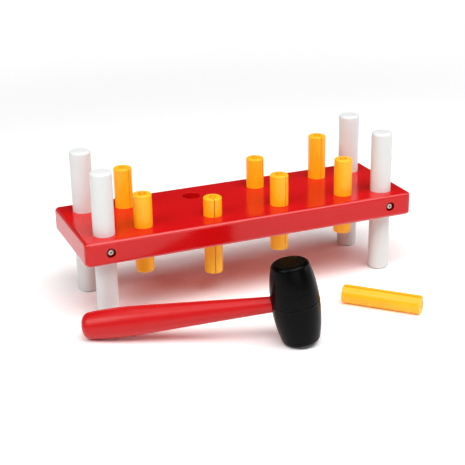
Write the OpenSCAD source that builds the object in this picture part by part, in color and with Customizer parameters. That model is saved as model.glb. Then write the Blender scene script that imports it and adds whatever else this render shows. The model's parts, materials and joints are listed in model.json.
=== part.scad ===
// Peg pounding bench: a painted board on four dowel legs, with springy pegs that are
// hammered through it, and a mallet. The board has legs above and below, so the bench
// works either way up. Millimetres, +Z up. The origin is on the floor, at the middle of
// the space that the bench, the mallet and the loose peg take up together. +X runs along
// the board and +Y towards its back edge.

/* [Board] */
// Length of the board
board_l = 264; // [240:1:320]
// Width of the board
board_w = 87; // [80:1:120]
// Thickness of the board
board_t = 18; // [14:0.5:26]
// Rounding of the board's upright corners
board_corner = 4; // [3.6:0.1:15]
// Rounding of the board's top and bottom edges
board_round = 2.5; // [0.5:0.1:3.5]
// Rounding of the mouths of the holes for the legs and pegs
mouth_round = 0.4; // [0.2:0.1:1]

/* [Legs] */
// Diameter of a leg
leg_d = 16; // [12:0.5:20]
// Length that a leg stands out of the board, above and below
leg_out = 47.5; // [44:0.5:70]
// Rounding of a leg's ends
leg_round = 2.2; // [0.5:0.1:5]
// Distance from a leg's axis to the end of the board
leg_to_end = 18.8; // [13:0.1:26]
// Distance from a leg's axis to the long edge of the board
leg_to_edge = 16.5; // [14:0.1:22]

/* [Pegs] */
// Diameter of a peg
peg_d = 14; // [11:0.1:18]
// Length of a peg
peg_l = 60; // [50:0.5:61]
// Rounding of a peg's ends
peg_round = 1.2; // [0.4:0.1:2.5]
// Gap between a peg and the wall of its hole
peg_gap = 0.09; // [0.02:0.01:0.3]
// Distance from peg to peg along a row
peg_pitch = 54.7; // [45:0.1:60]
// Distance between the two rows of pegs
row_gap = 45.8; // [36:0.1:54]
// Diameter of the hollow inside a peg
hollow_d = 5.8; // [4:0.1:7]
// Width of the tongue that the slit runs into
tongue_w = 2.4; // [1.5:0.1:3]
// Width of the slit
slit_w = 0.4; // [0.3:0.1:1.2]

/* [Peg heights above the board] */
// Front row, first peg from the left
front_1_up = 24.9; // [0:0.1:30]
// Front row, second peg
front_2_up = 14.1; // [0:0.1:30]
// Front row, third peg
front_3_up = 24; // [0:0.1:30]
// Front row, fourth peg
front_4_up = 28.9; // [0:0.1:32]
// Back row, first peg from the left
back_1_up = 31; // [0:0.1:34]
// Back row, third peg
back_3_up = 23.8; // [0:0.1:30]
// Back row, fourth peg
back_4_up = 35; // [0:0.1:38]

/* [Screws] */
// Diameter of the recess for a screw's head
recess_d = 7.2; // [6:0.1:9]
// Depth of the recess
recess_depth = 2.9; // [2.6:0.1:5.5]
// Diameter of a screw's head
head_d = 4.5; // [4.3:0.1:5.8]
// Height of a screw's head
head_h = 2; // [1.4:0.1:2.6]
// Rounding of the head's top edge
head_round = 0.8; // [0.3:0.1:1.2]
// Diameter of a screw's shank
shank_d = 3; // [2.5:0.1:3.6]
// Length of a screw under its head
screw_l = 16; // [12:0.5:18]
// Length of a screw's point
point_l = 3; // [1.5:0.1:4]
// Gap round the shank where it passes through the board
shank_gap = 0.2; // [0.1:0.05:0.4]
// Length of one slot of the cross in the head
cross_l = 2.9; // [2.4:0.1:3.8]
// Width of one slot of the cross
cross_w = 0.8; // [0.5:0.1:1]
// Depth of the cross
cross_depth = 1.2; // [0.6:0.1:1.3]

/* [Mallet head] */
// Length of the head
mallet_l = 59.8; // [50:0.1:75]
// Diameter of the head at its middle
mallet_mid_d = 34.4; // [30:0.2:44]
// Diameter that the sides would reach at the ends without rounding
mallet_end_d = 26; // [22:0.2:29]
// Rounding of the head's ends
mallet_round = 3; // [2:0.1:7]
// Height of the moulding seam round the middle
seam_h = 0.25; // [0.1:0.05:0.5]
// Width of the moulding seam
seam_w = 0.9; // [0.5:0.1:2]

/* [Mallet handle] */
// Distance from the middle of the head to the butt of the handle
handle_l = 152; // [140:1:165]
// Diameter of the handle at the head
neck_d = 11.4; // [8:0.1:16]
// Length of the straight neck outside the head
neck_out = 1; // [0.5:0.1:6]
// Depth that the handle reaches past the middle of the head
neck_past = 8; // [2:0.5:10]
// Greatest diameter of the grip
grip_d = 21.6; // [18:0.2:26]
// Distance from the middle of the head to the thickest place of the grip
grip_at = 123.6; // [110:0.2:130]
// Radius of the grip's swell along the handle
grip_arc = 250; // [180:5:400]
// Rounding of the butt
butt_round = 6; // [3:0.1:8]

/* [Places on the floor] */
// Middle of the mallet's head, right of the board's middle
mallet_x = -5.8; // [-30:0.1:30]
// Middle of the mallet's head, in front of the board's front edge
mallet_ahead = 78.1; // [74:0.1:130]
// Heading of the mallet's handle, in degrees from +X
mallet_heading = 153.2; // [150:0.1:180]
// Loose peg, right of the board's middle
loose_x = 77.3; // [60:0.1:100]
// Loose peg, in front of the board's front edge
loose_ahead = 53.7; // [45:0.1:120]
// Heading of the loose peg, in degrees from +X
loose_heading = -45.1; // [-60:0.1:-30]

/* [Hidden] */
$fn = 96;

// Small overrun for cuts that break through a face
over = 1;

// Board
board_z = leg_out;
board_mid_z = board_z + board_t / 2;
board_top = board_z + board_t;

// Legs
leg_l = board_t + 2 * leg_out;
leg_x = board_l / 2 - leg_to_end;
leg_y = board_w / 2 - leg_to_edge;

// Pegs
PEG_COLUMN_SHARES = [-1.5, -0.5, 0.5, 1.5];
peg_hole_d = peg_d + 2 * peg_gap;

// Directions of the slits, in degrees from +X
front_1_turn = 68;
front_2_turn = -100;
front_3_turn = -70;
front_4_turn = 62;
back_1_turn = -67;
back_3_turn = -48;
back_4_turn = -86;
loose_turn = 195;

// Mallet head: the side is one arc, tangent to the rounding of each end
head_half = mallet_l / 2;
head_sag = (mallet_mid_d - mallet_end_d) / 2;
head_arc = (head_half * head_half + head_sag * head_sag) / (2 * head_sag);
head_arc_r = mallet_mid_d / 2 - head_arc;
rim_z = head_half - mallet_round;
rim_r = head_arc_r + sqrt(pow(head_arc - mallet_round, 2) - rim_z * rim_z);
rim_tangent_z = rim_z * head_arc / (head_arc - mallet_round);

// Mallet handle: a straight neck, a taper tangent to the grip's arc, and a rounded butt
neck_end = mallet_mid_d / 2 + neck_out;
grip_arc_r = grip_d / 2 - grip_arc;
taper_dx = neck_end - grip_at;
taper_dr = neck_d / 2 - grip_arc_r;
taper_dir = atan2(taper_dr, taper_dx) - acos(grip_arc / norm([taper_dx, taper_dr]));
taper_s = grip_at + grip_arc * cos(taper_dir);
taper_r = grip_arc_r + grip_arc * sin(taper_dir);
butt_s = handle_l - butt_round;
butt_r = grip_arc_r + sqrt(pow(grip_arc - butt_round, 2) - pow(butt_s - grip_at, 2));
butt_tangent_s = grip_at + (butt_s - grip_at) * grip_arc / (grip_arc - butt_round);

// The mallet lies on the near side of its lower rim and on its butt
lie_a = rim_z - butt_r;
lie_b = rim_r - butt_s;
mallet_tilt = atan2(lie_b, lie_a) + acos((butt_round - mallet_round) / norm([lie_a, lie_b]));
mallet_z = rim_z * cos(mallet_tilt) + rim_r * sin(mallet_tilt) + mallet_round;

// Middles of the pieces on the floor, counted from the bench's middle
mallet_y = -board_w / 2 - mallet_ahead;
loose_y = -board_w / 2 - loose_ahead;

// How far the set reaches left, right and forward from the bench's middle
mallet_lean = cos(mallet_tilt) * cos(mallet_heading);
mallet_reach = butt_s * mallet_lean - butt_r * sqrt(1 - mallet_lean * mallet_lean) - butt_round;
loose_core_l = peg_l / 2 - peg_round;
loose_core_r = peg_d / 2 - peg_round;
loose_cos = abs(cos(loose_heading));
loose_sin = abs(sin(loose_heading));
loose_reach_x = loose_core_l * loose_cos + loose_core_r * loose_sin + peg_round;
loose_reach_y = loose_core_l * loose_sin + loose_core_r * loose_cos + peg_round;
set_left = min(-board_l / 2, mallet_x + mallet_reach);
set_right = max(board_l / 2, loose_x + loose_reach_x);
set_front = min(mallet_y - mallet_mid_d / 2 - seam_h, loose_y - loose_reach_y);

// Middle of the bench, counted from the origin
bench_x = -(set_left + set_right) / 2;
bench_y = -(set_front + board_w / 2) / 2;

// Colours
red = [0.80, 0.06, 0.08];
cream = [0.93, 0.92, 0.90];
yellow = [1.00, 0.70, 0.12];
steel = [0.72, 0.71, 0.68];
black = [0.07, 0.07, 0.07];

// Outline of a rectangle with rounded corners, centred on the origin
module rounded_rectangle(w, h, r) {
    square([w - 2 * r, h], center = true);
    square([w, h - 2 * r], center = true);
    for (x = [-1, 1], y = [-1, 1])
        translate([x * (w / 2 - r), y * (h / 2 - r)])
            circle(r);
}

// Round bar that stands on the origin, with both ends rounded
module round_bar(d, l, r) {
    rotate_extrude()
        intersection() {
            square([d / 2, l]);
            union() {
                square([d / 2 - r, l]);
                translate([0, r])
                    square([d / 2, l - 2 * r]);
                for (z = [r, l - r])
                    translate([d / 2 - r, z])
                        circle(r);
            }
        }
}

// Block with rounded upright corners and rounded top and bottom edges, centred on the origin
module rounded_block(l, w, t, corner, r) {
    for (x = [-1, 1], y = [-1, 1])
        translate([x * (l / 2 - corner), y * (w / 2 - corner), -t / 2])
            round_bar(2 * corner, t, r);
    rotate([90, 0, 90])
        linear_extrude(l - 2 * corner, center = true)
            rounded_rectangle(w, t, r);
    rotate([90, 0, 0])
        linear_extrude(w - 2 * corner, center = true)
            rounded_rectangle(l, t, r);
}

// Puts its children on the floor below the bench's middle
module at_bench() {
    translate([bench_x, bench_y, 0])
        children();
}

// Puts its children at the middle of the board's long edge beside a leg, with +Z outward
module at_screw(x_side, y_side) {
    translate([x_side * leg_x, y_side * board_w / 2, board_mid_z])
        rotate([y_side * -90, 0, 0])
            children();
}

// Hole through the board with rounded mouths, from the floor of the board up
module round_hole(d) {
    mouth_r = d / 2 + mouth_round;
    translate([0, 0, board_z])
        rotate_extrude() {
            square([d / 2, board_t]);
            for (z = [-over, board_t])
                translate([0, z])
                    square([mouth_r, over]);
            difference() {
                for (z = [0, board_t - mouth_round])
                    translate([0, z])
                        square([mouth_r, mouth_round]);
                for (z = [mouth_round, board_t - mouth_round])
                    translate([mouth_r, z])
                        circle(mouth_round);
            }
        }
}

// Hole for one peg
module peg_hole(column, row) {
    translate([column * peg_pitch, row * row_gap / 2, 0])
        round_hole(peg_hole_d);
}

// Hole for one leg
module leg_hole(x_side, y_side) {
    translate([x_side * leg_x, y_side * leg_y, 0])
        round_hole(leg_d);
}

// Stepped hole in the board's long edge for one screw
module screw_hole(x_side, y_side) {
    at_screw(x_side, y_side) {
        translate([0, 0, -recess_depth])
            cylinder(d = recess_d, h = recess_depth + over);
        translate([0, 0, -leg_to_edge])
            cylinder(d = shank_d + 2 * shank_gap, h = leg_to_edge);
    }
}

module board() {
    color(red)
        at_bench()
            difference() {
                translate([0, 0, board_mid_z])
                    rounded_block(board_l, board_w, board_t, board_corner, board_round);
                for (column = PEG_COLUMN_SHARES, row = [-1, 1])
                    peg_hole(column, row);
                for (x_side = [-1, 1], y_side = [-1, 1]) {
                    leg_hole(x_side, y_side);
                    screw_hole(x_side, y_side);
                }
            }
}

// One leg, with the hole that its screw cuts
module leg(x_side, y_side) {
    color(cream)
        at_bench()
            difference() {
                translate([x_side * leg_x, y_side * leg_y, 0])
                    round_bar(leg_d, leg_l, leg_round);
                at_screw(x_side, y_side)
                    screw_body();
            }
}

// Shank and point of a screw, below the underside of its head
module screw_body() {
    translate([0, 0, -recess_depth - screw_l + point_l])
        cylinder(d = shank_d, h = screw_l - point_l);
    translate([0, 0, -recess_depth - screw_l])
        cylinder(d1 = 0, d2 = shank_d, h = point_l);
}

// One screw, seated on the floor of its recess
module screw(x_side, y_side) {
    color(steel)
        at_bench()
            at_screw(x_side, y_side)
                difference() {
                    union() {
                        translate([0, 0, -recess_depth])
                            screw_head();
                        screw_body();
                    }
                    for (turn = [0, 90])
                        rotate([0, 0, turn])
                            cross_slot();
                }
}

// One slot of the cross in a screw's head
module cross_slot() {
    translate([-cross_l / 2, -cross_w / 2, head_h - recess_depth - cross_depth])
        cube([cross_l, cross_w, cross_depth + over]);
}

// Head of a screw, flat below and rounded above
module screw_head() {
    rotate_extrude()
        union() {
            square([head_d / 2, head_h - head_round]);
            square([head_d / 2 - head_round, head_h]);
            translate([head_d / 2 - head_round, head_h - head_round])
                circle(head_round);
        }
}

// The hollow of a peg and the slit that opens it along +X
module peg_hollow_outline() {
    difference() {
        circle(d = hollow_d);
        circle(d = tongue_w);
        translate([0, -tongue_w / 2])
            square([hollow_d, tongue_w]);
    }
    circle(d = slit_w);
    translate([0, -slit_w / 2])
        square([peg_d, slit_w]);
}

// One peg that stands on the origin, with its slit turned by an angle
module peg(turn) {
    color(yellow)
        rotate([0, 0, turn])
            difference() {
                round_bar(peg_d, peg_l, peg_round);
                translate([0, 0, -over])
                    linear_extrude(peg_l + 2 * over)
                        peg_hollow_outline();
            }
}

// One peg in the board, with its top a given height above the board
module seated_peg(column, row, up, turn) {
    at_bench()
        translate([PEG_COLUMN_SHARES[column] * peg_pitch, row * row_gap / 2, board_top + up - peg_l])
            peg(turn);
}

// The peg that lies on the floor
module loose_peg() {
    at_bench()
        translate([loose_x, loose_y, peg_d / 2])
            rotate([0, 90, loose_heading])
                translate([0, 0, -peg_l / 2])
                    peg(loose_turn);
}

// Outline of the mallet's head, from its axis outward
module mallet_head_outline() {
    intersection() {
        translate([0, -head_half])
            square([mallet_mid_d, mallet_l]);
        union() {
            intersection() {
                translate([head_arc_r, 0])
                    circle(head_arc, $fn = 360);
                translate([0, -rim_tangent_z])
                    square([mallet_mid_d, 2 * rim_tangent_z]);
            }
            for (z = [-rim_z, rim_z])
                translate([rim_r, z])
                    circle(mallet_round);
            translate([0, -head_half])
                square([rim_r, mallet_l]);
        }
    }
    translate([0, -seam_w / 2])
        square([mallet_mid_d / 2 + seam_h, seam_w]);
}

// Outline of the mallet's handle, with x outward and y from the head's middle to the butt
module mallet_handle_outline() {
    polygon([
        [0, -neck_past],
        [neck_d / 2, -neck_past],
        [neck_d / 2, neck_end],
        [taper_r, taper_s],
        [0, taper_s]
    ]);
    intersection() {
        translate([grip_arc_r, grip_at])
            circle(grip_arc, $fn = 720);
        translate([0, taper_s])
            square([grip_d, butt_tangent_s - taper_s]);
    }
    intersection() {
        translate([butt_r, butt_s])
            circle(butt_round);
        translate([0, butt_s])
            square([grip_d, butt_round]);
    }
    translate([0, taper_s])
        square([butt_r, handle_l - taper_s]);
}

// Puts its children where the mallet lies, with its head's middle at their origin,
// their +Z up the head and their +X along the handle
module at_mallet() {
    at_bench()
        translate([mallet_x, mallet_y, mallet_z])
            rotate([0, mallet_tilt, mallet_heading])
                children();
}

module mallet_handle() {
    color(red)
        at_mallet()
            rotate([0, 90, 0])
                rotate_extrude()
                    mallet_handle_outline();
}

module mallet_head() {
    color(black)
        at_mallet()
            difference() {
                rotate_extrude()
                    mallet_head_outline();
                rotate([0, 90, 0])
                    translate([0, 0, -neck_past])
                        cylinder(d = neck_d, h = neck_past + mallet_mid_d);
            }
}

board();
leg(-1, -1);  // leg_front_left
leg(1, -1);  // leg_front_right
leg(-1, 1);  // leg_back_left
leg(1, 1);  // leg_back_right
screw(-1, -1);  // screw_front_left
screw(1, -1);  // screw_front_right
screw(-1, 1);  // screw_back_left
screw(1, 1);  // screw_back_right
seated_peg(0, -1, front_1_up, front_1_turn);  // peg_front_1
seated_peg(1, -1, front_2_up, front_2_turn);  // peg_front_2
seated_peg(2, -1, front_3_up, front_3_turn);  // peg_front_3
seated_peg(3, -1, front_4_up, front_4_turn);  // peg_front_4
seated_peg(0, 1, back_1_up, back_1_turn);  // peg_back_1
seated_peg(2, 1, back_3_up, back_3_turn);  // peg_back_3
seated_peg(3, 1, back_4_up, back_4_turn);  // peg_back_4
loose_peg();  // peg_loose
mallet_handle();
mallet_head();
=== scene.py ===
"""Peg pounding bench for a small child: a painted board on dowel legs, springy split pegs and a mallet.

The board, the legs and the mallet's handle are the fixed frame's own solids with their paint. The pegs, the
screws and the mallet's head are modelled here, in their places, and the set stands on a plain pale floor.
"""

import json
import math

import bmesh
import bpy
from bpy.props import FloatProperty, FloatVectorProperty, IntProperty, PointerProperty
from bpy.types import Operator, Panel, PropertyGroup
from mathutils import Matrix, Vector


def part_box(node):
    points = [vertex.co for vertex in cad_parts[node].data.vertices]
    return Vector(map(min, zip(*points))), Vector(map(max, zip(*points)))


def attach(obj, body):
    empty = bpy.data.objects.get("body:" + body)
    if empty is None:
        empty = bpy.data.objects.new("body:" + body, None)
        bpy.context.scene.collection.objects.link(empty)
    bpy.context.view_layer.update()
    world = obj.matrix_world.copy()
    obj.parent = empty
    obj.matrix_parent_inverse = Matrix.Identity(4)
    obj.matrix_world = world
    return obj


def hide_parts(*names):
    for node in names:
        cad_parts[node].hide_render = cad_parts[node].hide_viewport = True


bl_info = {
    "name": "Peg pounding bench",
    "version": (1, 0, 0),
    "blender": (4, 5, 0),
    "location": "3D View > Sidebar > Peg Bench",
    "description": "Models and finishes a peg pounding bench with its mallet on a pale floor",
    "category": "Object",
}

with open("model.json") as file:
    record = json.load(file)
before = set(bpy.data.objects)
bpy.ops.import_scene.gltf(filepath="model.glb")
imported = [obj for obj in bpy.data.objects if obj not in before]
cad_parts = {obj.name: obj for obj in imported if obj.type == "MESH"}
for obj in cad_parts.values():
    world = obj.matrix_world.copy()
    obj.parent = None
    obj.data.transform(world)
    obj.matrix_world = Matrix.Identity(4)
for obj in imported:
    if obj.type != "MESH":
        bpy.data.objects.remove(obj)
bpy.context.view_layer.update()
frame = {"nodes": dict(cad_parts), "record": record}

MM = 0.001

# Names in the frame
LEGS = ("leg_front_left", "leg_front_right", "leg_back_left", "leg_back_right")
# Screws, with the long edge of the board that each one is in: -1 for the front, 1 for the back
SCREWS = {
    "screw_front_left": -1,
    "screw_front_right": -1,
    "screw_back_left": 1,
    "screw_back_right": 1,
}
# Seated pegs, with the heading of each one's slit in degrees from +X
PEG_TURNS = {
    "peg_front_1": 68,
    "peg_front_2": -100,
    "peg_front_3": -70,
    "peg_front_4": 62,
    "peg_back_1": -67,
    "peg_back_3": -48,
    "peg_back_4": -86,
}
# The peg on the floor: the heading of its top, and its turn round its own axis, in degrees
LOOSE_PEG = "peg_loose"
LOOSE_HEADING = -45.1
LOOSE_TURN = 195

# Painted shade, as factors on the colour from 1 for none to 0 for black: in the slits of the pegs
# that differ, in the other slits, in the pegs' hollows, in the screws' crosses and in the board's recesses
SLIT_PAINTED_SHADE_FACTOR = {
    "peg_front_2": 0.5,
    "peg_front_3": 0.75,
    "peg_back_1": 0.75,
    "peg_back_4": 0.85,
}
USUAL_SLIT_PAINTED_SHADE_FACTOR = 0.6
HOLLOW_PAINTED_SHADE_FACTOR = 0.2
CROSS_PAINTED_SHADE_FACTOR = 0.12
RECESS_PAINTED_SHADE_FACTOR = 0.3

# Middle of the board, half its size along each axis, the rounding of its edges, and the distance
# of the screws' axes from its middle
BOARD_LOW, BOARD_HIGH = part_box("board")
BOARD_MIDDLE = (BOARD_LOW + BOARD_HIGH) / 2
BOARD_HALF = (BOARD_HIGH - BOARD_LOW) / 2
BOARD_ROUND = 2.5 * MM
SCREW_LOW, SCREW_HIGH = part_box("screw_front_right")
SCREW_X = (SCREW_LOW.x + SCREW_HIGH.x) / 2 - BOARD_MIDDLE.x

# Where the mallet lies: the middle of its head, and the heading and slope of its handle in degrees
MALLET_PLACE = (-0.563 * MM, -73.825 * MM, 31.182 * MM)
MALLET_HEADING = 153.2
MALLET_TILT = 8.4498

# How near a point has to lie to count as on a surface
NEAR = 0.02 * MM
# Points nearer to each other than this are merged, on cut shapes and on turned ones
MERGE_DISTANCE = 0.001 * MM
TURNED_MERGE_DISTANCE = 0.004 * MM
# Edges that turn by more than this are corners, and stay sharp when a piece is shaded smoothly
CORNER_ANGLE = math.radians(40)
# A face looks down when its normal's height is below this
DOWNWARD = -0.9
# Share of half a bar's width that its end is rounded to, so that the two roundings don't meet
FULL_ROUND = 0.998
# What the screw's point and the floor of its cross narrow to, as shares of their full widths
POINT_SHARE = 0.04
CROSS_SHARES = (0.45, 0.7)
# Rings on the flat ends of the mallet's head, as shares of their radius
END_RINGS = (0, 0.55, 0.9)

# Noise scale of the mottled patches, as a share of the lines' scale
PATCH_SCALE = 0.12
# How far the streaks of the plastic shift from one peg to the next, in metres
STREAK_SHIFT = 0.2

# Floor: its radius, the low wall round it and the sweep between them, in metres
FLOOR_RADIUS = 3.0
WALL_HEIGHT = 0.9
WALL_SWEEP = 0.5
# How bright the camera sees the floor, and the distances between which it turns plain white
FLOOR_BRIGHTNESS = 1.28
WHITE_FROM = 0.35
WHITE_AT = 0.9
# Share of that white which is left out of reflections
REFLECTION_LOSS = 0.7

# Lamps: place, width, depth and power, in metres and watts
LAMPS = {
    "key_lamp": ((0.25, -0.7, 1.4), 1.7, 0.9, 17.6),
    "top_lamp": ((0, 0, 1.5), 1.2, 1.2, 6.5),
    "left_lamp": ((-1.1, -0.3, 1.1), 0.8, 0.8, 9.4),
    "low_right_lamp": ((1.5, -0.3, 0.4), 0.8, 0.5, 3.5),
    "low_front_lamp": ((0, -1.5, 0.35), 1.2, 0.4, 1.7),
}
LAMP_TARGET = (0, 0, 0.03)


def linear(red, green, blue):
    """A colour given as screen values from 0 to 255, as the shader's values."""
    values = []
    for screen in (red, green, blue):
        share = screen / 255
        if share <= 0.04045:
            values.append(share / 12.92)
        else:
            values.append(((share + 0.055) / 1.055) ** 2.4)
    return values[0], values[1], values[2]


def length(name, description, millimetres):
    """A size of the object, as a property in metres."""
    return FloatProperty(
        name=name,
        description=description,
        default=millimetres * MM,
        min=0,
        unit="LENGTH",
        subtype="DISTANCE",
        precision=5,
    )


def colour(name, description, value):
    """A colour of the object, as a property."""
    return FloatVectorProperty(
        name=name, description=description, default=value, min=0, max=1, subtype="COLOR"
    )


class PaintLook(PropertyGroup):
    """Paints of the board, the legs and the handle."""

    board: colour("Board paint", "Glossy paint of the board", linear(219, 14, 18))
    leg: colour("Leg paint", "Satin paint of the legs", linear(239, 242, 241))
    handle: colour("Handle paint", "Glossy paint of the mallet's handle", linear(209, 18, 22))


class PegSizes(PropertyGroup):
    """Sizes and colour of the split pegs."""

    diameter: length("Diameter", "Diameter of a peg", 14)
    length: length("Length", "Length of a peg", 60)
    end_rounding: length("End rounding", "Rounding of the outer edge of both ends", 1.2)
    hollow: length("Hollow", "Diameter of the hollow inside a peg", 5.8)
    tongue: length("Tongue", "Width of the tongue that the slit runs into", 2.4)
    slit: length("Slit", "Width of the slit", 0.4)
    softness: length("Edge softness", "Rounding of the slit's and the hollow's edges", 0.15)
    steps: IntProperty(name="Steps", description="Faces round a peg", default=96, min=24, max=192)
    plastic: colour("Plastic", "Colour of the pegs", linear(255, 195, 20))


class ScrewSizes(PropertyGroup):
    """Sizes and colour of the screws."""

    head: length("Head diameter", "Diameter of a screw's head", 4.5)
    head_height: length("Head height", "Height of a screw's head", 2)
    head_rounding: length("Head rounding", "Rounding of the head's top edge", 0.8)
    shank: length("Shank", "Diameter of the shank", 3)
    reach: length("Length", "Length of the screw under its head", 16)
    point: length("Point", "Length of the point", 3)
    cross_length: length("Cross length", "Length of one slot of the cross", 2.9)
    cross_width: length("Cross width", "Width of one slot of the cross", 0.8)
    cross_depth: length("Cross depth", "Depth of the cross", 1.2)
    steel: colour("Steel", "Colour of the screws", linear(205, 198, 186))


class MalletSizes(PropertyGroup):
    """Sizes and colour of the mallet's head."""

    length: length("Length", "Length of the head", 59.8)
    middle: length("Middle diameter", "Diameter of the head at its middle", 34.4)
    end: length("End diameter", "Diameter that the sides would reach at the ends", 26)
    rounding: length("End rounding", "Rounding of the head's ends", 3)
    seam_height: length("Seam height", "Height of the moulding seam", 0.25)
    seam_width: length("Seam width", "Width of the moulding seam", 0.9)
    neck: length("Neck", "Diameter of the handle where it enters the head", 11.4)
    neck_past: length("Neck past the middle", "How far the socket goes past the head's middle", 8)
    steps: IntProperty(name="Steps", description="Faces round the head", default=128, min=32, max=256)
    rubber: colour("Rubber", "Colour of the head", linear(5, 4, 5))


class StageLook(PropertyGroup):
    """Camera, lamps and floor."""

    camera: FloatVectorProperty(
        name="Camera",
        description="Place of the camera",
        default=(-315.731 * MM, -727.719 * MM, 369.659 * MM),
        subtype="TRANSLATION",
        unit="LENGTH",
        precision=5,
    )
    lens: FloatProperty(
        name="Lens", description="Focal length in millimetres", default=89.233, unit="CAMERA"
    )
    heading: FloatProperty(
        name="Heading",
        description="Turn of the camera to the right of +Y",
        default=0.390032,
        subtype="ANGLE",
    )
    pitch: FloatProperty(
        name="Pitch", description="Tilt of the camera down", default=0.376253, subtype="ANGLE"
    )
    roll: FloatProperty(name="Roll", description="Roll of the camera", default=-0.015331, subtype="ANGLE")
    lamps: FloatProperty(name="Lamps", description="Factor on the power of all the lamps", default=1, min=0)
    room: FloatProperty(
        name="Room light", description="Strength of the even light all round", default=0.02, min=0
    )
    floor: colour("Floor", "Colour of the floor", linear(242, 241, 240))


def settings(kind):
    """One of the property groups of the scene."""
    return getattr(bpy.context.scene, "peg_bench_" + kind)


def activate(piece):
    """Leaves only this piece selected, and active."""
    if bpy.context.object is not None and bpy.context.object.mode != "OBJECT":
        bpy.ops.object.mode_set(mode="OBJECT")
    bpy.ops.object.select_all(action="DESELECT")
    piece.select_set(True)
    bpy.context.view_layer.objects.active = piece


def settle(piece, matrix=None):
    """Puts a piece's place into its mesh, after moving it if a matrix is given."""
    if matrix is not None:
        piece.matrix_world = matrix
    activate(piece)
    bpy.ops.object.transform_apply(location=True, rotation=True, scale=True)


def new_piece(name):
    """Names the primitive that was just added, and puts its place into its mesh."""
    piece = bpy.context.object
    piece.name = name
    piece.data.name = name
    settle(piece)
    return piece


def open_mesh(piece, mode):
    """Opens a piece's mesh in edit mode with nothing selected, and returns it."""
    activate(piece)
    bpy.ops.object.mode_set(mode="EDIT")
    bpy.ops.mesh.select_mode(type=mode)
    bpy.ops.mesh.select_all(action="DESELECT")
    return bmesh.from_edit_mesh(piece.data)


def open_underside(piece):
    """Opens a piece's mesh in edit mode with the faces that look down selected."""
    mesh = open_mesh(piece, "FACE")
    for face in mesh.faces:
        face.select_set(face.normal.z < DOWNWARD)
    bmesh.update_edit_mesh(piece.data)


def close_mesh():
    """Leaves edit mode."""
    bpy.ops.object.mode_set(mode="OBJECT")


def bevel_edges(piece, chosen, width, steps):
    """Rounds the edges that a test chooses."""
    mesh = open_mesh(piece, "EDGE")
    for edge in mesh.edges:
        edge.select_set(chosen(edge))
    bmesh.update_edit_mesh(piece.data)
    bpy.ops.mesh.bevel(offset=width, segments=steps, profile=0.5, affect="EDGES", clamp_overlap=True)
    close_mesh()


def cut(piece, cutter):
    """Cuts one piece out of another, and removes the cutter."""
    activate(piece)
    modifier = piece.modifiers.new("Cut", "BOOLEAN")
    modifier.operation = "DIFFERENCE"
    modifier.solver = "EXACT"
    modifier.object = cutter
    bpy.ops.object.modifier_apply(modifier=modifier.name)
    bpy.data.objects.remove(cutter, do_unlink=True)


def tidy_mesh(piece, nearest):
    """Closes seams and poles, and turns all faces outward."""
    open_mesh(piece, "VERT")
    bpy.ops.mesh.select_all(action="SELECT")
    bpy.ops.mesh.remove_doubles(threshold=nearest)
    bpy.ops.mesh.normals_make_consistent(inside=False)
    close_mesh()


def smooth(piece):
    """Shades curved faces smoothly, and keeps flat faces flat up to their rounded edges."""
    activate(piece)
    bpy.ops.object.shade_smooth_by_angle(angle=CORNER_ANGLE)
    modifier = piece.modifiers.new("Flat faces", "WEIGHTED_NORMAL")
    modifier.keep_sharp = True
    modifier.weight = 80
    bpy.ops.object.modifier_apply(modifier=modifier.name)


def place_copy(shape, name, matrix):
    """A copy of a shape with its own mesh, moved into its place."""
    copy = shape.copy()
    copy.data = shape.data.copy()
    copy.name = name
    copy.data.name = name
    bpy.context.scene.collection.objects.link(copy)
    settle(copy, matrix)
    return copy


def dress(piece, material):
    """Gives a piece one material."""
    piece.data.materials.clear()
    piece.data.materials.append(material)


def body_of_node(node):
    """The body that holds a node of the frame."""
    for body, members in frame["record"]["behaviour"]["bodies"].items():
        if node in members:
            return body
    raise RuntimeError("no body holds " + node)


def stand_for(piece, node):
    """A modelled piece takes the place of a node of the frame."""
    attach(piece, body_of_node(node))
    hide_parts(node)


def rotation(degrees, axis):
    """A turn round one axis."""
    return Matrix.Rotation(math.radians(degrees), 4, axis)


def mallet_matrix():
    """Place of the mallet's head, with +Z along the head and +X along the handle."""
    return Matrix.Translation(MALLET_PLACE) @ rotation(MALLET_HEADING, "Z") @ rotation(MALLET_TILT, "Y")


def mallet_pattern_turn():
    """Turn of a pattern that follows the mallet as it lies."""
    return tuple(mallet_matrix().to_3x3().inverted().to_euler("XYZ"))


# Materials


def add_node(tree, kind, x, y, **values):
    """A node at a place in the tree, with values for its inputs by name."""
    node = tree.nodes.new(kind)
    node.location = (x, y)
    for name, value in values.items():
        node.inputs[name.replace("_", " ")].default_value = value
    return node


def join(tree, start, output, end, socket):
    """A link between two named sockets."""
    tree.links.new(start.outputs[output], end.inputs[socket])


def new_group(name, inputs, outputs):
    """A shader node group with named inputs and outputs, and its two end nodes."""
    tree = bpy.data.node_groups.new(name, "ShaderNodeTree")
    for label, kind, value in inputs:
        socket = tree.interface.new_socket(label, in_out="INPUT", socket_type=kind)
        if value is not None:
            socket.default_value = value
    for label, kind in outputs:
        tree.interface.new_socket(label, in_out="OUTPUT", socket_type=kind)
    start = add_node(tree, "NodeGroupInput", -900, 0)
    end = add_node(tree, "NodeGroupOutput", 900, 0)
    return tree, start, end


def noise(tree, x, y, scale, detail, roughness):
    """A noise texture."""
    return add_node(tree, "ShaderNodeTexNoise", x, y, Scale=scale, Detail=detail, Roughness=roughness)


def ramp(tree, x, y, source, start, end):
    """A soft step of a value, from 0 at start to 1 at end."""
    node = add_node(tree, "ShaderNodeMapRange", x, y)
    node.interpolation_type = "SMOOTHSTEP"
    node.inputs["From Min"].default_value = start
    node.inputs["From Max"].default_value = end
    tree.links.new(source, node.inputs["Value"])
    return node


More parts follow.
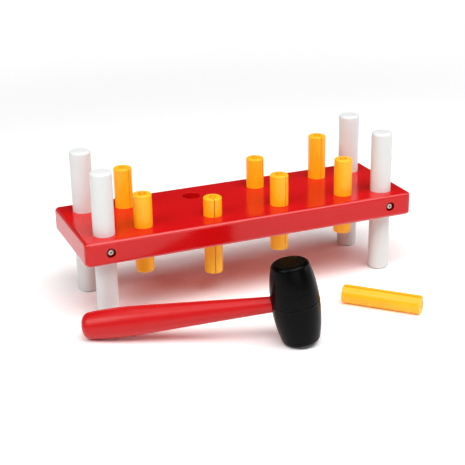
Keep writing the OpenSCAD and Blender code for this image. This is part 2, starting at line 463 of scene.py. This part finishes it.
def maths(tree, x, y, operation, first, second=0):
    """A sum, product or the like of its sources, each a node's output or a number."""
    node = add_node(tree, "ShaderNodeMath", x, y)
    node.operation = operation
    for index, source in enumerate((first, second)):
        if isinstance(source, (int, float)):
            node.inputs[index].default_value = source
        else:
            tree.links.new(source, node.inputs[index])
    return node


def shade_group(name, stretch, coarse, fine):
    """A surface with fine lines along its own X, soft mottling and a fine skin.

    It puts out a colour, a roughness and a height that change over the surface. coarse and fine are
    the noise scales of the lines and the skin, and stretch draws the lines out.
    """
    inputs = (
        ("Vector", "NodeSocketVector", None),
        ("Colour", "NodeSocketColor", (0.8, 0.8, 0.8, 1)),
        ("Lines", "NodeSocketFloat", 0.5),
        ("Mottle", "NodeSocketFloat", 0.05),
        ("Skin", "NodeSocketFloat", 0.5),
        ("Roughness", "NodeSocketFloat", 0.3),
        ("Roughness Change", "NodeSocketFloat", 0.1),
    )
    outputs = (
        ("Colour", "NodeSocketColor"),
        ("Roughness", "NodeSocketFloat"),
        ("Height", "NodeSocketFloat"),
    )
    tree, start, end = new_group(name, inputs, outputs)
    along = add_node(tree, "ShaderNodeMapping", -700, 250, Scale=(stretch, 1, 1))
    join(tree, start, "Vector", along, "Vector")
    lines = noise(tree, -500, 250, scale=coarse, detail=4, roughness=0.6)
    join(tree, along, "Vector", lines, "Vector")
    patches = noise(tree, -500, 0, scale=coarse * PATCH_SCALE, detail=3, roughness=0.5)
    join(tree, start, "Vector", patches, "Vector")
    skin = noise(tree, -500, -250, scale=fine, detail=2, roughness=0.5)
    join(tree, start, "Vector", skin, "Vector")

    # Colour: a little lighter and darker along the lines and in the patches
    both = maths(tree, -250, 150, "ADD", lines.outputs[0], patches.outputs[0])
    middle = maths(tree, -80, 150, "SUBTRACT", both.outputs[0], 1.0)
    swing = maths(tree, 90, 150, "MULTIPLY", middle.outputs[0], start.outputs["Mottle"])
    level = maths(tree, 260, 150, "ADD", swing.outputs[0], 1.0)
    tint = add_node(tree, "ShaderNodeVectorMath", 450, 200)
    tint.operation = "SCALE"
    tree.links.new(start.outputs["Colour"], tint.inputs[0])
    tree.links.new(level.outputs[0], tint.inputs["Scale"])
    tree.links.new(tint.outputs["Vector"], end.inputs["Colour"])

    # Roughness: the patches are a little duller
    centred = maths(tree, -80, -50, "SUBTRACT", patches.outputs[0], 0.5)
    dull = maths(tree, 90, -50, "MULTIPLY", centred.outputs[0], start.outputs["Roughness Change"])
    rough = maths(tree, 260, -50, "ADD", dull.outputs[0], start.outputs["Roughness"])
    tree.links.new(rough.outputs[0], end.inputs["Roughness"])

    # Height: the lines and the skin
    raised = maths(tree, 90, -250, "MULTIPLY", lines.outputs[0], start.outputs["Lines"])
    grained = maths(tree, 90, -400, "MULTIPLY", skin.outputs[0], start.outputs["Skin"])
    height = maths(tree, 260, -300, "ADD", raised.outputs[0], grained.outputs[0])
    tree.links.new(height.outputs[0], end.inputs["Height"])
    return tree


def surface_material(name, group, colour_value, bump, look, shader, source=None, turn=(0, 0, 0)):
    """A material: the group's colour, roughness and height on a Principled shader.

    bump is the strength and the depth of the relief. look holds values for the group and shader those
    for the Principled shader. source is None for object coordinates, or the name of a vector attribute
    of the mesh, and turn is the turn of the pattern.
    """
    material = bpy.data.materials.new(name)
    material.use_nodes = True
    tree = material.node_tree
    tree.nodes.clear()
    if source is None:
        place = add_node(tree, "ShaderNodeTexCoord", -900, 0)
        vector = place.outputs["Object"]
    else:
        place = add_node(tree, "ShaderNodeAttribute", -900, 0)
        place.attribute_name = source
        vector = place.outputs["Vector"]
    mapping = add_node(tree, "ShaderNodeMapping", -700, 0, Rotation=turn)
    tree.links.new(vector, mapping.inputs["Vector"])
    surface = add_node(tree, "ShaderNodeGroup", -450, 0)
    surface.node_tree = group
    join(tree, mapping, "Vector", surface, "Vector")
    surface.inputs["Colour"].default_value = (*colour_value, 1)
    for label, value in look.items():
        surface.inputs[label].default_value = value
    strength, distance = bump
    relief = add_node(tree, "ShaderNodeBump", -200, -250, Strength=strength, Distance=distance)
    join(tree, surface, "Height", relief, "Height")
    principled = add_node(tree, "ShaderNodeBsdfPrincipled", 50, 0)
    for label, value in shader.items():
        principled.inputs[label].default_value = value
    join(tree, surface, "Colour", principled, "Base Color")
    join(tree, surface, "Roughness", principled, "Roughness")
    join(tree, relief, "Normal", principled, "Normal")
    output = add_node(tree, "ShaderNodeOutputMaterial", 350, 0)
    join(tree, principled, "BSDF", output, "Surface")
    return material


def wood_paint_group():
    """Paint over close-grained wood, built once."""
    name = "Paint over wood"
    if name in bpy.data.node_groups:
        return bpy.data.node_groups[name]
    return shade_group(name, stretch=0.05, coarse=700, fine=1600)


def moulded_group():
    """Moulded plastic or rubber, built once."""
    name = "Moulded surface"
    if name in bpy.data.node_groups:
        return bpy.data.node_groups[name]
    return shade_group(name, stretch=0.03, coarse=900, fine=2600)


def from_board_middle(tree, start):
    """Distances from the board's middle along the three axes, without their signs."""
    shifted = add_node(tree, "ShaderNodeVectorMath", -700, 0)
    shifted.operation = "SUBTRACT"
    join(tree, start, "Vector", shifted, 0)
    shifted.inputs[1].default_value = BOARD_MIDDLE
    folded = add_node(tree, "ShaderNodeVectorMath", -530, 0)
    folded.operation = "ABSOLUTE"
    tree.links.new(shifted.outputs[0], folded.inputs[0])
    axes = add_node(tree, "ShaderNodeSeparateXYZ", -360, 0)
    tree.links.new(folded.outputs[0], axes.inputs[0])
    return axes


def edge_group():
    """How far round the board's edges a point lies: 0 on the flat faces, 1 on the edges, built once."""
    name = "Board edges"
    if name in bpy.data.node_groups:
        return bpy.data.node_groups[name]
    inputs = (("Vector", "NodeSocketVector", None),)
    tree, start, end = new_group(name, inputs, (("Edge", "NodeSocketFloat"),))
    axes = from_board_middle(tree, start)
    fade = 0.6 * MM
    rounded = {}
    for row, (axis, half) in enumerate(zip("XYZ", BOARD_HALF)):
        flat = half - BOARD_ROUND
        rounded[axis] = ramp(tree, -190, 200 * row, axes.outputs[axis], flat, flat + fade)
    rim = maths(tree, 0, 0, "MAXIMUM", rounded["X"].outputs[0], rounded["Y"].outputs[0])
    edge = maths(tree, 170, 0, "MULTIPLY", rim.outputs[0], rounded["Z"].outputs[0])
    tree.links.new(edge.outputs[0], end.inputs["Edge"])
    return tree


def recess_shade_group():
    """Painted shade in the four screw recesses: a factor of 1 outside them and less in them, built once."""
    name = "Screw recesses"
    if name in bpy.data.node_groups:
        return bpy.data.node_groups[name]
    inputs = (
        ("Vector", "NodeSocketVector", None),
        ("Least Painted Shade Factor", "NodeSocketFloat", RECESS_PAINTED_SHADE_FACTOR),
    )
    tree, start, end = new_group(name, inputs, (("Painted Shade Factor", "NodeSocketFloat"),))
    # The painted shade ends just outside the recess's wall, and begins a little inside the recess's mouth
    outer = 3.72 * MM
    inner = 3.65 * MM
    mouth_y = BOARD_HALF.y - 0.3 * MM
    deep_y = mouth_y - 0.9 * MM
    axes = from_board_middle(tree, start)
    across = maths(tree, -190, 200, "SUBTRACT", axes.outputs["X"], SCREW_X)
    across_squared = maths(tree, -20, 200, "MULTIPLY", across.outputs[0], across.outputs[0])
    up_squared = maths(tree, -20, 0, "MULTIPLY", axes.outputs["Z"], axes.outputs["Z"])
    squared = maths(tree, 150, 100, "ADD", across_squared.outputs[0], up_squared.outputs[0])
    away = maths(tree, 320, 100, "SQRT", squared.outputs[0])
    inside = ramp(tree, 490, 100, away.outputs[0], outer, inner)
    behind = ramp(tree, 490, -200, axes.outputs["Y"], mouth_y, deep_y)
    mask = maths(tree, 660, 0, "MULTIPLY", inside.outputs[0], behind.outputs[0])
    loss = maths(tree, 660, -200, "SUBTRACT", 1.0, start.outputs["Least Painted Shade Factor"])
    lost = maths(tree, 760, -100, "MULTIPLY", mask.outputs[0], loss.outputs[0])
    kept = maths(tree, 830, -100, "SUBTRACT", 1.0, lost.outputs[0])
    tree.links.new(kept.outputs[0], end.inputs["Painted Shade Factor"])
    return tree


def principled_of(material):
    """The Principled shader of a material."""
    return next(node for node in material.node_tree.nodes if node.type == "BSDF_PRINCIPLED")


def paint_shade(material, painted_shade_factor):
    """Paints shade into a material: multiplies its colour by a factor below 1 where shade falls."""
    tree = material.node_tree
    principled = principled_of(material)
    paint = principled.inputs["Base Color"].links[0].from_socket
    product = add_node(tree, "ShaderNodeVectorMath", -150, 400)
    product.operation = "SCALE"
    tree.links.new(paint, product.inputs[0])
    tree.links.new(painted_shade_factor, product.inputs["Scale"])
    tree.links.new(product.outputs[0], principled.inputs["Base Color"])


def paint_shade_recesses(material):
    """Paints shade into the board's paint in the screw recesses."""
    tree = material.node_tree
    place = add_node(tree, "ShaderNodeTexCoord", -550, 500)
    recesses = add_node(tree, "ShaderNodeGroup", -350, 500)
    recesses.node_tree = recess_shade_group()
    join(tree, place, "Object", recesses, "Vector")
    paint_shade(material, recesses.outputs["Painted Shade Factor"])


def coat_edges(material, roughness):
    """Gives the board's rounded edges a clear coat."""
    tree = material.node_tree
    principled = principled_of(material)
    place = add_node(tree, "ShaderNodeTexCoord", -550, 800)
    edges = add_node(tree, "ShaderNodeGroup", -350, 800)
    edges.node_tree = edge_group()
    join(tree, place, "Object", edges, "Vector")
    join(tree, edges, "Edge", principled, "Coat Weight")
    principled.inputs["Coat Roughness"].default_value = roughness


def paint_shade_hollows(material):
    """Paints shade into a material by the painted shade factor that is kept with each point of the mesh."""
    place = add_node(material.node_tree, "ShaderNodeAttribute", -350, 500)
    place.attribute_name = "painted_shade_factor"
    paint_shade(material, place.outputs["Fac"])


# Operators


class PEGBENCH_OT_finish_board(Operator):
    """Paint the board"""

    bl_idname = "pegbench.finish_board"
    bl_label = "Finish board"

    def execute(self, context):
        look = {"Lines": 0.25, "Mottle": 0.05, "Skin": 0.6, "Roughness": 0.15, "Roughness Change": 0.05}
        shader = {"IOR": 1.45, "Specular IOR Level": 0.42}
        material = surface_material(
            "Board paint",
            wood_paint_group(),
            settings("paint").board,
            bump=(0.12, 0.1 * MM),
            look=look,
            shader=shader,
        )
        # Painted shade darkens the screw recesses
        paint_shade_recesses(material)
        coat_edges(material, roughness=0.38)
        dress(frame["nodes"]["board"], material)
        return {"FINISHED"}


class PEGBENCH_OT_finish_legs(Operator):
    """Paint the four legs"""

    bl_idname = "pegbench.finish_legs"
    bl_label = "Finish legs"

    def execute(self, context):
        look = {"Lines": 0.5, "Mottle": 0.06, "Skin": 0.5, "Roughness": 0.42, "Roughness Change": 0.08}
        material = surface_material(
            "Leg paint",
            wood_paint_group(),
            settings("paint").leg,
            bump=(0.15, 0.1 * MM),
            look=look,
            shader={"IOR": 1.45},
            turn=(0, math.pi / 2, 0),
        )
        for name in LEGS:
            dress(frame["nodes"][name], material)
        return {"FINISHED"}


class PEGBENCH_OT_finish_handle(Operator):
    """Paint the mallet's handle"""

    bl_idname = "pegbench.finish_handle"
    bl_label = "Finish handle"

    def execute(self, context):
        look = {"Lines": 0.5, "Mottle": 0.05, "Skin": 0.5, "Roughness": 0.34, "Roughness Change": 0.08}
        shader = {"IOR": 1.45, "Specular IOR Level": 0.4, "Coat Weight": 0.05, "Coat Roughness": 0.2}
        material = surface_material(
            "Handle paint",
            wood_paint_group(),
            settings("paint").handle,
            bump=(0.15, 0.1 * MM),
            look=look,
            shader=shader,
            turn=mallet_pattern_turn(),
        )
        dress(frame["nodes"]["mallet_handle"], material)
        return {"FINISHED"}


def bar_with_round_end(name, low, high, width, tall, middle_z, steps):
    """A bar along X whose inner end, at low, is a half round."""
    bpy.ops.mesh.primitive_cube_add(
        size=1, location=((low + high) / 2, 0, middle_z), scale=(high - low, width, tall)
    )
    bar = new_piece(name)

    def at_inner_end(edge):
        first, second = (vertex.co for vertex in edge.verts)
        upright = abs(first.z - second.z) > tall / 2
        return upright and first.x < low + NEAR

    bevel_edges(bar, at_inner_end, width / 2 * FULL_ROUND, steps)
    return bar


def peg_shape(sizes):
    """One split peg that stands on the origin, with its slit along +X."""
    radius = sizes.diameter / 2
    tall = sizes.length
    # How far the cutters stand out of the peg's ends
    over = 2 * MM
    bpy.ops.mesh.primitive_cylinder_add(
        vertices=sizes.steps, radius=radius, depth=tall, location=(0, 0, tall / 2)
    )
    peg = new_piece("peg_shape")

    def at_rim(edge):
        first, second = (vertex.co.z for vertex in edge.verts)
        return abs(first - second) < tall / 2

    bevel_edges(peg, at_rim, sizes.end_rounding, steps=6)

    # The hollow goes round the tongue, and the slit runs down the middle of the tongue
    bpy.ops.mesh.primitive_cylinder_add(
        vertices=72, radius=sizes.hollow / 2, depth=tall + 2 * over, location=(0, 0, tall / 2)
    )
    hollow = new_piece("peg_hollow")
    tongue = bar_with_round_end(
        "peg_tongue",
        low=-sizes.tongue / 2,
        high=sizes.hollow,
        width=sizes.tongue,
        tall=tall + 4 * over,
        middle_z=tall / 2,
        steps=12,
    )
    cut(hollow, tongue)
    cut(peg, hollow)
    slit = bar_with_round_end(
        "peg_slit",
        low=-sizes.slit / 2,
        high=sizes.diameter,
        width=sizes.slit,
        tall=tall + 2 * over,
        middle_z=tall / 2,
        steps=8,
    )
    cut(peg, slit)

    def is_outer_corner(edge):
        return len(edge.link_faces) == 2 and edge.calc_face_angle_signed() > CORNER_ANGLE

    bevel_edges(peg, is_outer_corner, sizes.softness, steps=3)
    tidy_mesh(peg, MERGE_DISTANCE)
    smooth(peg)
    return peg


def mark_places(piece, shift):
    """Keeps each point's place on its own shape, for patterns that follow the shape."""
    mesh = piece.data
    places = []
    for vertex in mesh.vertices:
        places.extend(vertex.co + shift)
    attribute = mesh.attributes.new("own_place", "FLOAT_VECTOR", "POINT")
    attribute.data.foreach_set("vector", places)


def mark_painted_shade_factor(piece, painted_shade_factor):
    """Keeps each point's painted shade factor, from 1 for no painted shade to 0 for black."""
    mesh = piece.data
    values = [painted_shade_factor(vertex.co) for vertex in mesh.vertices]
    attribute = mesh.attributes.new("painted_shade_factor", "FLOAT", "POINT")
    attribute.data.foreach_set("value", values)


def peg_painted_shade_factor(sizes, slit_painted_shade_factor):
    """A function that gives the painted shade factor of a point of the upright peg."""
    # The softened edge of the hollow gets no painted shade in its outer half
    deep = sizes.softness / 2

    def painted_shade_factor(point):
        if point.x > 0 and abs(point.y) < sizes.slit / 2 + NEAR:
            return slit_painted_shade_factor
        in_hollow = math.hypot(point.x, point.y) < sizes.hollow / 2 + NEAR
        if in_hollow and deep < point.z < sizes.length - deep:
            return HOLLOW_PAINTED_SHADE_FACTOR
        return 1

    return painted_shade_factor


class PEGBENCH_OT_make_pegs(Operator):
    """Model one split peg and copy it to its eight places"""

    bl_idname = "pegbench.make_pegs"
    bl_label = "Make pegs"

    def execute(self, context):
        sizes = settings("pegs")
        look = {"Lines": 0.8, "Mottle": 0.3, "Skin": 0.3, "Roughness": 0.33, "Roughness Change": 0.1}
        # A weak painted glow: an emission that stands for light coming through the thin plastic
        shader = {
            "IOR": 1.49,
            "Subsurface Weight": 0.12,
            "Subsurface Scale": 0.003,
            "Subsurface Radius": (1.0, 0.5, 0.15),
            "Emission Color": (1.0, 0.2, 0.0, 1),
            "Emission Strength": 0.16,
        }
        material = surface_material(
            "Peg plastic",
            moulded_group(),
            sizes.plastic,
            bump=(0.25, 0.1 * MM),
            look=look,
            shader=shader,
            source="own_place",
            turn=(0, math.pi / 2, 0),
        )
        # Painted shade darkens the pegs' slits and hollows
        paint_shade_hollows(material)
        shape = peg_shape(sizes)
        dress(shape, material)
        for number, (name, turn) in enumerate(PEG_TURNS.items()):
            low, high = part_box(name)
            middle = (low + high) / 2
            place = Matrix.Translation((middle.x, middle.y, low.z))
            self.add_peg(shape, name, place @ rotation(turn, "Z"), number)
        low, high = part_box(LOOSE_PEG)
        lying = Matrix.Translation((low + high) / 2) @ rotation(LOOSE_HEADING, "Z") @ rotation(90, "Y")
        place = lying @ Matrix.Translation((0, 0, -sizes.length / 2))
        self.add_peg(shape, LOOSE_PEG, place @ rotation(LOOSE_TURN, "Z"), len(PEG_TURNS))
        bpy.data.objects.remove(shape, do_unlink=True)
        return {"FINISHED"}

    def add_peg(self, shape, node, matrix, number):
        """One peg in its place, with its own part of the streaks and its own painted shade in the slit."""
        peg = place_copy(shape, node + "_split", Matrix.Identity(4))
        slit_painted_shade_factor = SLIT_PAINTED_SHADE_FACTOR.get(node, USUAL_SLIT_PAINTED_SHADE_FACTOR)
        mark_painted_shade_factor(peg, peg_painted_shade_factor(settings("pegs"), slit_painted_shade_factor))
        mark_places(peg, Vector((0, 0, STREAK_SHIFT * number)))
        settle(peg, matrix)
        stand_for(peg, node)


def screw_shape(sizes):
    """One screw whose head sits on the origin and looks along +Z."""
    tall = sizes.head_height
    bpy.ops.mesh.primitive_cylinder_add(
        vertices=48, radius=sizes.head / 2, depth=tall, location=(0, 0, tall / 2)
    )
    screw = new_piece("screw_shape")

    def at_top(edge):
        return all(vertex.co.z > tall - NEAR for vertex in edge.verts)

    bevel_edges(screw, at_top, sizes.head_rounding, steps=5)

    # The shank and its point grow out of the head's underside
    open_underside(screw)
    bpy.ops.mesh.inset(thickness=(sizes.head - sizes.shank) / 2, depth=0)
    straight = sizes.reach - sizes.point
    bpy.ops.mesh.extrude_region_move(TRANSFORM_OT_translate={"value": (0, 0, -straight)})
    bpy.ops.mesh.extrude_region_move(TRANSFORM_OT_translate={"value": (0, 0, -sizes.point)})
    tip = (0, 0, -sizes.reach)
    bpy.ops.transform.resize(value=(POINT_SHARE, POINT_SHARE, 1), center_override=tip)
    close_mesh()

    # The cross narrows towards its floor, and its cutters stand above the head
    over = 0.5 * MM
    floor_z = tall - sizes.cross_depth
    top_z = tall + over
    for turn in (0, 90):
        bpy.ops.mesh.primitive_cube_add(
            size=1,
            location=(0, 0, (floor_z + top_z) / 2),
            scale=(sizes.cross_length, sizes.cross_width, top_z - floor_z),
        )
        slot = new_piece("screw_slot")
        open_underside(slot)
        bpy.ops.transform.resize(value=(*CROSS_SHARES, 1), center_override=(0, 0, floor_z))
        close_mesh()
        settle(slot, rotation(turn, "Z"))
        cut(screw, slot)

    # The cross is softened on the head's crown, and stays sharp at its floor
    crown_z = tall * 0.8

    def is_cross_edge(edge):
        if len(edge.link_faces) != 2 or edge.calc_face_angle_signed() < CORNER_ANGLE:
            return False
        return all(vertex.co.z > crown_z for vertex in edge.verts)

    softness = 0.06 * MM
    bevel_edges(screw, is_cross_edge, softness, steps=2)
    tidy_mesh(screw, MERGE_DISTANCE)
    smooth(screw)
    return screw


def cross_painted_shade_factor(sizes):
    """A function that gives the painted shade factor of a point of the upright screw."""
    # The painted shade begins under the cross's softened edges and takes in its floor
    top_z = sizes.head_height - 0.08 * MM
    floor_z = sizes.head_height - sizes.cross_depth - 0.05 * MM
    reach = sizes.cross_length / 2 + 0.01 * MM

    def painted_shade_factor(point):
        in_cross = math.hypot(point.x, point.y) < reach and floor_z < point.z < top_z
        return CROSS_PAINTED_SHADE_FACTOR if in_cross else 1

    return painted_shade_factor


class PEGBENCH_OT_make_screws(Operator):
    """Model one screw and copy it into its four recesses"""

    bl_idname = "pegbench.make_screws"
    bl_label = "Make screws"

    def execute(self, context):
        sizes = settings("screws")
        look = {"Lines": 0.4, "Mottle": 0.12, "Skin": 0.6, "Roughness": 0.34, "Roughness Change": 0.2}
        material = surface_material(
            "Screw steel",
            moulded_group(),
            sizes.steel,
            bump=(0.25, 0.05 * MM),
            look=look,
            shader={"Metallic": 1.0},
        )
        # Painted shade darkens the cross in each screw's head
        paint_shade_hollows(material)
        shape = screw_shape(sizes)
        mark_painted_shade_factor(shape, cross_painted_shade_factor(sizes))
        dress(shape, material)
        for node, side in SCREWS.items():
            low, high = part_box(node)
            middle = (low + high) / 2
            seat_y = low.y + sizes.head_height if side < 0 else high.y - sizes.head_height
            place = Matrix.Translation((middle.x, seat_y, middle.z)) @ rotation(-90 * side, "X")
            screw = place_copy(shape, node + "_cross", place)
            stand_for(screw, node)
        bpy.data.objects.remove(shape, do_unlink=True)
        return {"FINISHED"}


def head_profile(sizes):
    """Outline of the mallet's head from its lower end up: distances from its axis, and heights.

    The side is one arc through the middle and the end diameters, and the end's rounding runs into it.
    """
    half = sizes.length / 2
    sag = (sizes.middle - sizes.end) / 2
    side = (half * half + sag * sag) / (2 * sag)
    side_x = sizes.middle / 2 - side
    rim_z = half - sizes.rounding
    rim_x = side_x + math.sqrt((side - sizes.rounding) ** 2 - rim_z**2)
    meet = math.asin(rim_z / (side - sizes.rounding))
    seam = math.asin(sizes.seam_width / 2 / side)
    corner_steps = 10
    side_steps = 18
    lower = [(rim_x * share, -half) for share in END_RINGS]
    for step in range(corner_steps + 1):
        angle = -math.pi / 2 + (math.pi / 2 - meet) * step / corner_steps
        out = sizes.rounding * math.cos(angle)
        lower.append((rim_x + out, -rim_z + sizes.rounding * math.sin(angle)))
    for step in range(1, side_steps + 1):
        angle = -meet + (meet - seam) * step / side_steps
        lower.append((side_x + side * math.cos(angle), side * math.sin(angle)))
    crest = sizes.middle / 2 + sizes.seam_height
    shoulder = sizes.middle / 2 + sizes.seam_height * 0.75
    ridge = [(shoulder, -sizes.seam_width / 4), (crest, 0), (shoulder, sizes.seam_width / 4)]
    upper = [(x, -z) for x, z in reversed(lower)]
    return lower + ridge + upper


def spin_profile(name, profile, steps):
    """Turns an outline round the Z axis."""
    bpy.ops.mesh.primitive_plane_add(size=1 * MM, location=(0, 0, 0))
    piece = new_piece(name)
    open_mesh(piece, "VERT")
    bpy.ops.mesh.select_all(action="SELECT")
    bpy.ops.mesh.merge(type="CENTER")
    start_x, start_z = profile[0]
    bpy.ops.transform.translate(value=(start_x, 0, start_z))
    for (x, z), (next_x, next_z) in zip(profile, profile[1:]):
        move = (next_x - x, 0, next_z - z)
        bpy.ops.mesh.extrude_vertices_move(TRANSFORM_OT_translate={"value": move})
    bpy.ops.mesh.select_all(action="SELECT")
    bpy.ops.mesh.spin(steps=steps, angle=math.tau, center=(0, 0, 0), axis=(0, 0, 1))
    close_mesh()
    tidy_mesh(piece, TURNED_MERGE_DISTANCE)
    return piece


class PEGBENCH_OT_make_head(Operator):
    """Turn the mallet's head and cut the socket for its handle"""

    bl_idname = "pegbench.make_head"
    bl_label = "Make mallet head"

    def execute(self, context):
        sizes = settings("mallet")
        head = spin_profile("mallet_head_turned", head_profile(sizes), sizes.steps)
        reach = sizes.middle + sizes.neck_past
        bpy.ops.mesh.primitive_cylinder_add(
            vertices=96,
            radius=sizes.neck / 2,
            depth=reach,
            location=(reach / 2 - sizes.neck_past, 0, 0),
            rotation=(0, math.pi / 2, 0),
        )
        cut(head, new_piece("mallet_socket"))
        smooth(head)
        look = {"Lines": 0.0, "Mottle": 0.25, "Skin": 0.9, "Roughness": 0.26, "Roughness Change": 0.1}
        material = surface_material(
            "Head rubber",
            moulded_group(),
            sizes.rubber,
            bump=(0.12, 0.1 * MM),
            look=look,
            shader={"IOR": 1.5, "Specular IOR Level": 0.08},
            turn=mallet_pattern_turn(),
        )
        dress(head, material)
        settle(head, mallet_matrix())
        stand_for(head, "mallet_head")
        return {"FINISHED"}


def add_lamp(name, place, target, width, depth, power):
    """A soft rectangular lamp that the camera doesn't see."""
    lamp = bpy.data.lights.new(name, "AREA")
    lamp.shape = "RECTANGLE"
    lamp.size = width
    lamp.size_y = depth
    lamp.energy = power
    holder = bpy.data.objects.new(name, lamp)
    bpy.context.scene.collection.objects.link(holder)
    holder.location = place
    holder.rotation_euler = (Vector(target) - Vector(place)).to_track_quat("-Z", "Y").to_euler()
    holder.visible_camera = False


def floor_material(stage):
    """The pale floor: white to the eye where nothing shades it, and a plain pale surface to other light."""
    material = bpy.data.materials.new("Pale floor")
    material.use_nodes = True
    tree = material.node_tree
    tree.nodes.clear()
    plain = add_node(tree, "ShaderNodeBsdfDiffuse", 0, 200)
    plain.inputs["Color"].default_value = (*stage.floor, 1)
    bright = add_node(tree, "ShaderNodeBsdfDiffuse", 0, 0)
    bright.inputs["Color"].default_value = (FLOOR_BRIGHTNESS, FLOOR_BRIGHTNESS, FLOOR_BRIGHTNESS, 1)
    rays = add_node(tree, "ShaderNodeLightPath", -400, 400)
    glossy = rays.outputs["Is Glossy Ray"]
    seen = maths(tree, -200, 400, "MAXIMUM", rays.outputs["Is Camera Ray"], glossy)
    shown = maths(tree, 0, 400, "MAXIMUM", seen.outputs[0], rays.outputs["Is Transmission Ray"])
    choice = add_node(tree, "ShaderNodeMixShader", 250, 200)
    tree.links.new(shown.outputs[0], choice.inputs[0])
    tree.links.new(plain.outputs[0], choice.inputs[1])
    tree.links.new(bright.outputs[0], choice.inputs[2])

    # Far from the set the floor is simply white, and less bright in reflections
    place = add_node(tree, "ShaderNodeTexCoord", -600, -200)
    distance = add_node(tree, "ShaderNodeVectorMath", -400, -200)
    distance.operation = "LENGTH"
    tree.links.new(place.outputs["Object"], distance.inputs[0])
    far = ramp(tree, -200, -200, distance.outputs["Value"], WHITE_FROM, WHITE_AT)
    far_seen = maths(tree, 0, -200, "MULTIPLY", far.outputs[0], shown.outputs[0])
    white = add_node(tree, "ShaderNodeEmission", 250, 0)
    white.inputs["Color"].default_value = (1, 1, 1, 1)
    loss = maths(tree, 0, -400, "MULTIPLY", glossy, REFLECTION_LOSS)
    strength = maths(tree, 150, -400, "SUBTRACT", 1.0, loss.outputs[0])
    tree.links.new(strength.outputs[0], white.inputs["Strength"])
    whole = add_node(tree, "ShaderNodeMixShader", 450, 100)
    tree.links.new(far_seen.outputs[0], whole.inputs[0])
    tree.links.new(choice.outputs[0], whole.inputs[1])
    tree.links.new(white.outputs[0], whole.inputs[2])
    output = add_node(tree, "ShaderNodeOutputMaterial", 650, 100)
    tree.links.new(whole.outputs[0], output.inputs["Surface"])
    return material


class PEGBENCH_OT_make_stage(Operator):
    """Make the floor, the lamps, the room's light and the camera"""

    bl_idname = "pegbench.make_stage"
    bl_label = "Make stage"

    def execute(self, context):
        scene = context.scene
        stage = settings("stage")
        self.make_floor(stage)
        for name, (place, width, depth, power) in LAMPS.items():
            add_lamp(name, place, LAMP_TARGET, width, depth, power * stage.lamps)
        world = bpy.data.worlds.new("Room")
        world.use_nodes = True
        scene.world = world
        background = world.node_tree.nodes["Background"]
        background.inputs["Color"].default_value = (1, 1, 1, 1)
        background.inputs["Strength"].default_value = stage.room
        data = bpy.data.cameras.new("camera")
        data.sensor_width = 36
        data.lens = stage.lens
        data.clip_start = 0.01
        data.clip_end = 50
        camera = bpy.data.objects.new("camera", data)
        scene.collection.objects.link(camera)
        turn = Matrix.Rotation(-stage.heading, 4, "Z") @ Matrix.Rotation(math.pi / 2 - stage.pitch, 4, "X")
        camera.matrix_world = Matrix.Translation(stage.camera) @ turn @ Matrix.Rotation(stage.roll, 4, "Z")
        scene.camera = camera
        scene.view_settings.view_transform = "Standard"
        return {"FINISHED"}

    def make_floor(self, stage):
        """A round floor whose edge sweeps up into a low wall."""
        bpy.ops.mesh.primitive_circle_add(
            vertices=96, radius=FLOOR_RADIUS, fill_type="NGON", location=(0, 0, 0)
        )
        floor = new_piece("floor")
        mesh = open_mesh(floor, "EDGE")
        for edge in mesh.edges:
            edge.select_set(True)
        bmesh.update_edit_mesh(floor.data)
        bpy.ops.mesh.extrude_region_move(TRANSFORM_OT_translate={"value": (0, 0, WALL_HEIGHT)})
        close_mesh()

        def at_foot(edge):
            return len(edge.link_faces) == 2 and all(vertex.co.z < NEAR for vertex in edge.verts)

        bevel_edges(floor, at_foot, WALL_SWEEP, steps=8)
        activate(floor)
        bpy.ops.object.shade_smooth_by_angle(angle=CORNER_ANGLE)
        dress(floor, floor_material(stage))


class PEGBENCH_PT_panel(Panel):
    """The bench's sizes, colours and steps"""

    bl_idname = "PEGBENCH_PT_panel"
    bl_label = "Peg pounding bench"
    bl_space_type = "VIEW_3D"
    bl_region_type = "UI"
    bl_category = "Peg Bench"

    def draw(self, context):
        layout = self.layout
        for kind, group in GROUPS.items():
            box = layout.box()
            box.label(text=kind.capitalize())
            values = settings(kind)
            for name in group.__annotations__:
                box.prop(values, name)
        column = layout.column(align=True)
        for operator in OPERATORS:
            column.operator(operator.bl_idname)


GROUPS = {
    "paint": PaintLook,
    "pegs": PegSizes,
    "screws": ScrewSizes,
    "mallet": MalletSizes,
    "stage": StageLook,
}
OPERATORS = (
    PEGBENCH_OT_finish_board,
    PEGBENCH_OT_finish_legs,
    PEGBENCH_OT_make_screws,
    PEGBENCH_OT_make_pegs,
    PEGBENCH_OT_finish_handle,
    PEGBENCH_OT_make_head,
    PEGBENCH_OT_make_stage,
)


def register():
    """Adds the classes, and the property groups to the scene."""
    for group in GROUPS.values():
        bpy.utils.register_class(group)
    for kind, group in GROUPS.items():
        setattr(bpy.types.Scene, "peg_bench_" + kind, PointerProperty(type=group))
    for operator in OPERATORS:
        bpy.utils.register_class(operator)
    bpy.utils.register_class(PEGBENCH_PT_panel)


def unregister():
    """Takes away what register added."""
    bpy.utils.unregister_class(PEGBENCH_PT_panel)
    for operator in reversed(OPERATORS):
        bpy.utils.unregister_class(operator)
    for kind in GROUPS:
        delattr(bpy.types.Scene, "peg_bench_" + kind)
    for group in reversed(list(GROUPS.values())):
        bpy.utils.unregister_class(group)


def main():
    """Builds the whole set."""
    register()
    bpy.ops.pegbench.finish_board()
    bpy.ops.pegbench.finish_legs()
    bpy.ops.pegbench.make_screws()
    bpy.ops.pegbench.make_pegs()
    bpy.ops.pegbench.finish_handle()
    bpy.ops.pegbench.make_head()
    bpy.ops.pegbench.make_stage()


if __name__ == "__main__":
    main()
